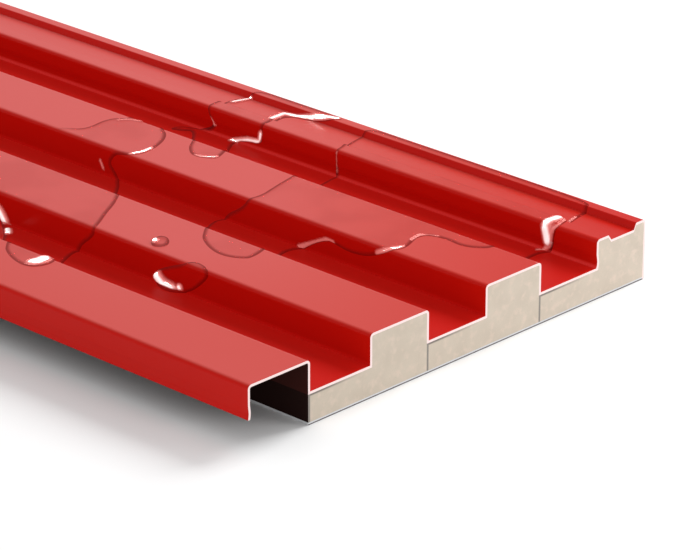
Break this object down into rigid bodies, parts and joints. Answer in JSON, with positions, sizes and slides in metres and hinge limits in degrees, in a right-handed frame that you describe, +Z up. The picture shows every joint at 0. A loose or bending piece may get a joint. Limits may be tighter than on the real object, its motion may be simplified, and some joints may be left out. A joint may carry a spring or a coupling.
{
  "type": "insulated corrugated metal roof panel",
  "caption": "Length of foam-cored roof panel with a painted box-rib outer sheet, a hollow lap rib with drip flange on one edge and a grooved male lap rib on the other",
  "frame": {"origin": "centre of the panel's footprint, on the plane that its underside lies on", "axes": "+X across the ribs from the hollow lap rib to the male lap rib, +Y along the ribs, +Z up through the ribs"},
  "size_m": [0.8706, 2, 0.102],
  "materials": {
    "outer_paint": "glossy red polyester coating",
    "foam": "sawn rigid foam, fine closed cells",
    "grey_strip": "dull grey-brown foam tape",
    "liner_paint": "satin off-white coating"
  },
  "bodies": {
    "root": {"outer_sheet": "outer_paint", "core_strip_1": "foam", "core_strip_2": "foam", "core_strip_3": "foam", "edge_tape": "grey_strip", "joint_strip_1": "grey_strip", "joint_strip_2": "grey_strip", "liner_sheet": "liner_paint"}
  },
  "joints": []
}
